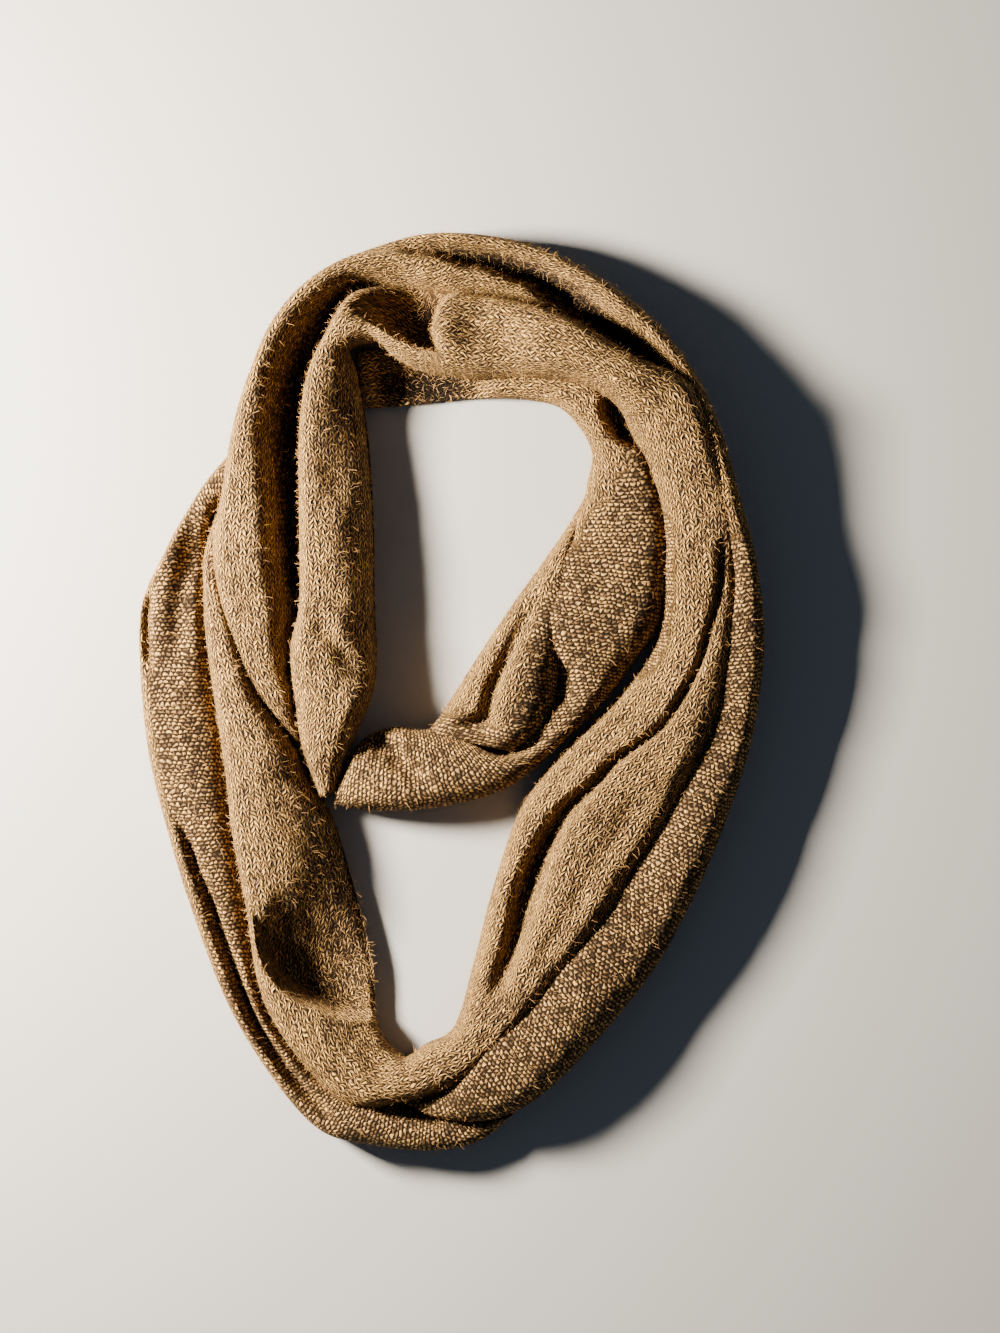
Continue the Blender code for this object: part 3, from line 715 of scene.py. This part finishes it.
def add(tree, kind, at, values=None, **settings):
    """A node, with its settings, and its sockets set or linked."""
    node = tree.nodes.new(kind)
    node.location = at
    for name, value in settings.items():
        setattr(node, name, value)
    for socket, value in (values or {}).items():
        if isinstance(value, bpy.types.NodeSocket):
            tree.links.new(value, node.inputs[socket])
        else:
            node.inputs[socket].default_value = value
    return node


def maths(tree, operation, at, first, second=0.0, third=0.0):
    """The result of a sum in a node tree."""
    node = add(tree, "ShaderNodeMath", at, {0: first, 1: second, 2: third}, operation=operation)
    return node.outputs[0]


def new_material(name, **values):
    """A material, and its one shader with these values; _ in a name stands for a space."""
    material = bpy.data.materials.new(name)
    material.use_nodes = True
    tree = material.node_tree
    tree.nodes.clear()
    values = {key.replace("_", " "): value for key, value in values.items()}
    shader = add(tree, "ShaderNodeBsdfPrincipled", (1400, 200), values)
    add(tree, "ShaderNodeOutputMaterial", (1700, 200), {"Surface": shader.outputs[0]})
    return material, tree, shader


def stitch_place(tree, place):
    """Where a point is, in wales and courses, with the stitches' rows a little uneven."""
    moved = add(tree, "ShaderNodeUVMap", (-2200, 300), uv_map="knit").outputs["UV"]
    for size, detail, far, y in ((WANDER_SIZE, 2.0, WANDER, 0), (JITTER_SIZE, 1.0, JITTER, -300)):
        noise = add(tree, "ShaderNodeTexNoise", (-2000, y),
                    {"Vector": place, "Scale": 1 / size, "Detail": detail})
        either_way = add(tree, "ShaderNodeVectorMath", (-1850, y),
                         {0: noise.outputs["Color"], 1: (0.5, 0.5, 0.5)}, operation="SUBTRACT")
        step = add(tree, "ShaderNodeVectorMath", (-1700, y), {0: either_way.outputs[0], 3: far},
                   operation="SCALE")
        moved = add(tree, "ShaderNodeVectorMath", (-1550, y), {0: moved, 1: step.outputs[0]},
                    operation="ADD").outputs[0]
    return moved


def plain_side(tree, wale, course):
    """Relief and cell of the V stitches: each wale is two long slanting legs that meet."""
    column = maths(tree, "FRACT", (-1150, 400), wale)
    off = maths(tree, "ABSOLUTE", (-850, 400), maths(tree, "SUBTRACT", (-1000, 400), column, 0.5))
    slant = maths(tree, "MULTIPLY_ADD", (-700, 500), off, LEG_SLANT, course)
    leg = maths(tree, "SINE", (-400, 500), maths(tree, "MULTIPLY", (-550, 500), slant, math.pi))
    leg = maths(tree, "POWER", (-100, 500), maths(tree, "ABSOLUTE", (-250, 500), leg), LEG_FLATNESS)
    side = maths(tree, "SINE", (-550, 350), maths(tree, "MULTIPLY", (-700, 350), off, 2 * math.pi))
    side = maths(tree, "POWER", (-400, 350), side, LEG_SIDE_FLATNESS)
    side = maths(tree, "MULTIPLY_ADD", (-250, 350), side, 1 - LEG_SIDE_LEAST, LEG_SIDE_LEAST)
    half = maths(tree, "FLOOR", (-850, 650), maths(tree, "MULTIPLY", (-1000, 650), wale, 2.0))
    cell = add(tree, "ShaderNodeCombineXYZ", (-550, 650),
               {0: half, 1: maths(tree, "FLOOR", (-700, 650), slant)})
    return maths(tree, "MULTIPLY", (50, 450), leg, side), cell.outputs[0]


def purl_side(tree, wale, course):
    """Relief and cell of the purl bumps: rows of bowed beads, each row half a bead along."""
    tight = maths(tree, "MULTIPLY", (-1250, -100), course, PURL_TIGHTER)
    row = maths(tree, "FLOOR", (-1150, 0), tight)
    wider = maths(tree, "MULTIPLY", (-1150, 100), wale, PURL_TIGHTER)
    brick = maths(tree, "MULTIPLY_ADD", (-1000, 0), row, 0.5, wider)
    across = maths(tree, "SUBTRACT", (-700, 50), maths(tree, "FRACT", (-850, 50), brick), 0.5)
    bow = maths(tree, "MULTIPLY", (-700, -50), across, across)
    bow = maths(tree, "MULTIPLY", (-550, -50), bow, BEAD_BOW)
    up = maths(tree, "FRACT", (-850, -150), tight)
    up = maths(tree, "SUBTRACT", (-700, -150), up, BEAD_MIDDLE)
    up = maths(tree, "ADD", (-400, -100), up, bow)
    wide = maths(tree, "POWER", (-250, 50), maths(tree, "ABSOLUTE", (-400, 50), across), 2.0)
    tall = maths(tree, "POWER", (-250, -100), maths(tree, "ABSOLUTE", (-325, -100), up), 2.0)
    rounded = maths(tree, "MULTIPLY_ADD", (-100, -50), tall, -BEAD_FALL_UP, 1.0)
    rounded = maths(tree, "MULTIPLY_ADD", (50, 0), wide, -BEAD_FALL_ACROSS, rounded)
    rounded = maths(tree, "MAXIMUM", (200, 0), rounded, 0.0)
    bead = maths(tree, "POWER", (350, 0), rounded, 0.5)
    bead = maths(tree, "MULTIPLY_ADD", (420, 0), bead, BEAD_HEIGHT, BEAD_GAP)
    cell = add(tree, "ShaderNodeCombineXYZ", (-550, 200),
               {0: maths(tree, "FLOOR", (-850, 200), brick), 1: row})
    return bead, cell.outputs[0]


def turned_share(tree, patches):
    """1 where the purl side faces out, with a ragged edge."""
    share = add(tree, "ShaderNodeAttribute", (-600, -300), attribute_name="purl")
    share = maths(tree, "SUBTRACT", (-500, -300), share.outputs["Fac"], 0.5 + RAGGED / 2)
    ragged = maths(tree, "MULTIPLY_ADD", (-400, -400), patches, RAGGED, share)
    sharper = add(tree, "ShaderNodeMath", (-250, -400), {0: ragged, 1: EDGE_SHARPNESS, 2: 0.5},
                  operation="MULTIPLY_ADD", use_clamp=True)
    return sharper.outputs[0]


def yarn_colour(tree, relief, streaks, patches, turned, sunk):
    """The yarn's colour: painted highlight on top of a stitch, painted shade between stitches and deep in
    a fold.
    """
    # Painted highlight and shade: the stitches' relief lightens their tops and darkens the gaps between
    # them; streaks and patches add random paler and darker yarn.
    tone = maths(tree, "MULTIPLY_ADD", (800, 500), streaks, STREAK_TONE, relief)
    tone = maths(tree, "MULTIPLY_ADD", (900, 500), patches, PATCH_TONE, tone)
    tone = maths(tree, "MULTIPLY_ADD", (1000, 500), turned, -PURL_DARKER, tone)
    # Painted shade: the yarn is darkened deep in a fold.
    tone = maths(tree, "MULTIPLY_ADD", (1100, 500), sunk, -PAINTED_FOLD_SHADE, tone)
    tone = maths(tree, "SUBTRACT", (1200, 500), tone, TONE_START)
    ramp = add(tree, "ShaderNodeValToRGB", (1300, 400), {"Fac": tone})
    stops = ramp.color_ramp.elements
    for stop, (position, colour) in zip(stops, (YARN_TONES[0], YARN_TONES[-1])):
        stop.position, stop.color = position, srgb(colour)
    for position, colour in YARN_TONES[1:-1]:
        stops.new(position).color = srgb(colour)
    return ramp.outputs["Color"]


def knit_material():
    """Brushed camel yarn, knitted by machine: V stitches on one side, purl bumps on the other.

    The brushing makes it matt, blurs the stitches and leaves a pale bloom at the edges.
    """
    material, tree, shader = new_material(
        "camel_brushed_knit", Roughness=0.95, Specular_IOR_Level=0.12, Sheen_Roughness=0.5,
        Sheen_Tint=srgb("#DFAE5C"))
    place = add(tree, "ShaderNodeTexCoord", (-2400, 0)).outputs["Object"]
    moved = stitch_place(tree, place)
    split = add(tree, "ShaderNodeSeparateXYZ", (-1350, 200), {0: moved})
    plain, leg_cell = plain_side(tree, split.outputs["X"], split.outputs["Y"])
    purl, bead_cell = purl_side(tree, split.outputs["X"], split.outputs["Y"])

    patches = add(tree, "ShaderNodeTexNoise", (-600, -1000),
                  {"Vector": place, "Scale": 1 / PATCH_SIZE, "Detail": 5.0, "Roughness": 0.6})
    patches = patches.outputs["Fac"]
    turned = turned_share(tree, patches)
    relief = add(tree, "ShaderNodeMix", (500, 300), {"Factor": turned, "A": plain, "B": purl},
                 data_type="FLOAT")
    cell = add(tree, "ShaderNodeMix", (-300, 750), {"Factor": turned, 4: leg_cell, 5: bead_cell},
               data_type="VECTOR")
    chance = add(tree, "ShaderNodeTexWhiteNoise", (-100, 750), {"Vector": cell.outputs[1]},
                 noise_dimensions="2D")
    by_chance = maths(tree, "MULTIPLY_ADD", (100, 750), chance.outputs["Value"], STITCH_SPREAD,
                      STITCH_LEAST)
    relief = maths(tree, "MULTIPLY", (650, 500), relief.outputs["Result"], by_chance)

    # Loose fibres: a fine streaky grain that softens the stitches.
    grain = add(tree, "ShaderNodeTexNoise", (-300, -500),
                {"Vector": place, "Scale": 1 / GRAIN_SIZE, "Detail": 4.0, "Roughness": 0.7})
    streaks = add(tree, "ShaderNodeTexNoise", (-300, -750),
                  {"Vector": moved, "Scale": STREAKS_PER_STITCH, "Detail": 5.0, "Roughness": 0.75,
                   "Distortion": 0.6})
    streaks = streaks.outputs["Fac"]
    height = maths(tree, "MULTIPLY_ADD", (800, 100), streaks, STREAK_RELIEF, relief)
    height = maths(tree, "MULTIPLY_ADD", (950, 100), grain.outputs["Fac"], GRAIN_RELIEF, height)
    bump = add(tree, "ShaderNodeBump", (1100, 0),
               {"Strength": 1.0, "Distance": STITCH_RELIEF, "Height": height})

    sunk = add(tree, "ShaderNodeAttribute", (900, 700), attribute_name="sunk").outputs["Fac"]
    sheen = maths(tree, "MULTIPLY_ADD", (1200, 700), sunk, SUNK_SHEEN - SHEEN, SHEEN)
    colour = yarn_colour(tree, relief, streaks, patches, turned, sunk)
    wired = {"Base Color": colour, "Normal": bump.outputs["Normal"], "Sheen Weight": sheen}
    for name, value in wired.items():
        tree.links.new(value, shader.inputs[name])
    return material


# ---------------------------------------------------------------- fuzz


def fibre_blade(tree, into):
    """One fibre, a metre long: a flat blade bowed up off the cloth."""
    bow = add(tree, "GeometryNodeCurveQuadraticBezier", (-900, 400),
              {"Resolution": 2, "Start": (0.0, 0.0, 0.0), "Middle": (0.0, 0.45, 0.30),
               "End": (0.15, 1.0, 0.20)})
    across = add(tree, "GeometryNodeCurvePrimitiveLine", (-900, 200),
                 {"Start": (-0.5, 0.0, 0.0), "End": (0.5, 0.0, 0.0)})
    scale = add(tree, "ShaderNodeCombineXYZ", (-900, 50),
                {"X": into.outputs["Thickness"], "Y": into.outputs["Thickness"], "Z": 1.0})
    thin = add(tree, "GeometryNodeTransform", (-700, 200),
               {"Geometry": across.outputs[0], "Scale": scale.outputs[0]})
    blade = add(tree, "GeometryNodeCurveToMesh", (-500, 350),
                {"Curve": bow.outputs[0], "Profile Curve": thin.outputs[0]})
    return blade.outputs[0]


def fibre_roots(tree, into):
    """Points on the outside of the cloth that isn't turned down, fewer on the purl side."""
    normal = add(tree, "GeometryNodeInputNormal", (-1200, -300))
    upward = add(tree, "ShaderNodeVectorMath", (-1000, -300),
                 {0: normal.outputs[0], 1: (0.0, 0.0, 1.0)}, operation="DOT_PRODUCT")
    shows = add(tree, "FunctionNodeCompare", (-800, -300),
                {0: upward.outputs["Value"], 1: TURNED_DOWN}, data_type="FLOAT",
                operation="GREATER_THAN")
    outside = add(tree, "GeometryNodeInputNamedAttribute", (-1000, -500), {"Name": "outside"},
                  data_type="FLOAT")
    shows = add(tree, "FunctionNodeBooleanMath", (-700, -500),
                {0: shows.outputs[0], 1: outside.outputs[0]}, operation="AND")
    purl = add(tree, "GeometryNodeInputNamedAttribute", (-1000, -650), {"Name": "purl"},
               data_type="FLOAT")
    brushed = maths(tree, "MULTIPLY_ADD", (-850, -650), purl.outputs[0], -PURL_LESS_FUZZ, 1.0)
    density = maths(tree, "MULTIPLY", (-700, -650), brushed, into.outputs["Density"])
    return add(tree, "GeometryNodeDistributePointsOnFaces", (-600, 0),
               {"Mesh": into.outputs["Geometry"], "Selection": shows.outputs[0],
                "Density": density, "Seed": into.outputs["Seed"]})


def fuzz_tree(material):
    """Geometry nodes that lay short curved fibres over a shell's upper side."""
    tree = bpy.data.node_groups.new("brushed_fuzz", "GeometryNodeTree")
    face = tree.interface
    face.new_socket("Geometry", in_out="INPUT", socket_type="NodeSocketGeometry")
    for name, kind in (("Density", "NodeSocketFloat"), ("Longest", "NodeSocketFloat"),
                       ("Thickness", "NodeSocketFloat"), ("Seed", "NodeSocketInt")):
        face.new_socket(name, in_out="INPUT", socket_type=kind)
    face.new_socket("Geometry", in_out="OUTPUT", socket_type="NodeSocketGeometry")
    into = add(tree, "NodeGroupInput", (-1200, 0))
    roots = fibre_roots(tree, into)
    lean = add(tree, "FunctionNodeRandomValue", (-600, -300), {0: LEAN_LEAST, 1: LEAN_MOST},
               data_type="FLOAT_VECTOR")
    turned = add(tree, "FunctionNodeRotateEuler", (-350, -250),
                 {0: roots.outputs["Rotation"], 1: lean.outputs[0]}, rotation_type="EULER",
                 space="LOCAL")
    size = add(tree, "FunctionNodeRandomValue", (-600, -700), {2: SHORTEST_SHARE, 3: 1.0},
               data_type="FLOAT")
    size = maths(tree, "MULTIPLY", (-400, -700), size.outputs[1], into.outputs["Longest"])
    laid = add(tree, "GeometryNodeInstanceOnPoints", (-100, 0),
               {"Points": roots.outputs["Points"], "Instance": fibre_blade(tree, into),
                "Rotation": turned.outputs[0], "Scale": size})
    real = add(tree, "GeometryNodeRealizeInstances", (100, 0), {0: laid.outputs[0]})
    painted = add(tree, "GeometryNodeSetMaterial", (300, 0),
                  {"Geometry": real.outputs[0], "Material": material})
    add(tree, "NodeGroupOutput", (500, 0), {0: painted.outputs[0]})
    return tree


def linked(name, data):
    """An object in the scene."""
    thing = bpy.data.objects.new(name, data)
    bpy.context.scene.collection.objects.link(thing)
    return thing


def fuzz_over(shell, tree, name, **inputs):
    """A shell's fuzz as a mesh of its own."""
    grown = linked(name, shell.data.copy())
    modifier = grown.modifiers.new("fuzz", "NODES")
    modifier.node_group = tree
    sockets = {item.name: item.identifier for item in tree.interface.items_tree
               if item.item_type == "SOCKET" and item.in_out == "INPUT"}
    for key, value in inputs.items():
        modifier[sockets[key]] = value
    bpy.context.view_layer.update()
    ready = grown.evaluated_get(bpy.context.evaluated_depsgraph_get())
    mesh = bpy.data.meshes.new_from_object(ready)
    mesh.name = name
    bpy.data.objects.remove(grown, do_unlink=True)
    return linked(name, mesh)


# ---------------------------------------------------------------- camera, light, floor


def set_camera():
    """Straight above the scarf."""
    data = bpy.data.cameras.new("camera")
    data.sensor_width = SENSOR
    data.lens = SENSOR * CAMERA_ABOVE / FRAME_HEIGHT
    data.clip_start = NEAREST_SEEN
    camera = linked("camera", data)
    camera.location = FRAME_MIDDLE + Vector((0, 0, CAMERA_ABOVE))
    bpy.context.scene.camera = camera


def area_light(name, at, toward, size, power, colour):
    """A square lamp that faces a point."""
    data = bpy.data.lights.new(name, "AREA")
    data.shape = "SQUARE"
    data.size = size
    data.energy = power
    data.color = srgb(colour)[:3]
    light = linked(name, data)
    light.location = at
    light.rotation_euler = (Vector(toward) - Vector(at)).to_track_quat("-Z", "Y").to_euler()


def set_studio():
    """A low window at the upper left, a faint fill, and a plain pale floor."""
    area_light("window", WINDOW_AT, (0.0, 0.0, 0.0), WINDOW_SIZE, WINDOW_POWER, "#FFF1DC")
    world = bpy.data.worlds.new("studio")
    bpy.context.scene.world = world
    world.use_nodes = True
    fill = world.node_tree.nodes["Background"]
    fill.inputs["Color"].default_value = srgb("#C2D2E8")
    fill.inputs["Strength"].default_value = FILL_STRENGTH
    mesh = bpy.data.meshes.new("floor")
    corners = ((-1, -1), (1, -1), (1, 1), (-1, 1))
    mesh.from_pydata([(x * FLOOR_HALF, y * FLOOR_HALF, 0) for x, y in corners], [], [(0, 1, 2, 3)])
    # Matt wall paint on board: an even pale ground with no shine.
    paint, _, _ = new_material("pale_floor", Base_Color=srgb("#A4A5A5"), Roughness=0.9)
    mesh.materials.append(paint)
    floor = linked("floor", mesh)
    floor.location.z = -FLOOR_DROP


# ---------------------------------------------------------------- the scarf


def build_scarf():
    """Every bundle's shell and its fuzz, each in place of its solids."""
    knit = knit_material()
    # Loose ends of the same yarn: a little shine, so that they catch the light at the outline.
    fibre, _, _ = new_material("loose_camel_fibre", Base_Color=srgb("#C0945C"), Roughness=0.8,
                               Specular_IOR_Level=0.2)
    tree = fuzz_tree(fibre)
    for number, (bundle, nodes, slot_name) in enumerate(SHELLS):
        mesh = shell_mesh(bundle)
        mesh.materials.append(knit)
        shell = linked(f"{bundle}_cloth", mesh)
        fuzz = fuzz_over(shell, tree, f"{bundle}_fuzz", Density=FUZZ_DENSITY, Longest=FUZZ_LONGEST,
                         Thickness=FUZZ_THICKNESS, Seed=FUZZ_SEED + number)
        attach(shell, "root")
        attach(fuzz, "root")
        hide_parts(*nodes)


set_camera()
build_scarf()
set_studio()
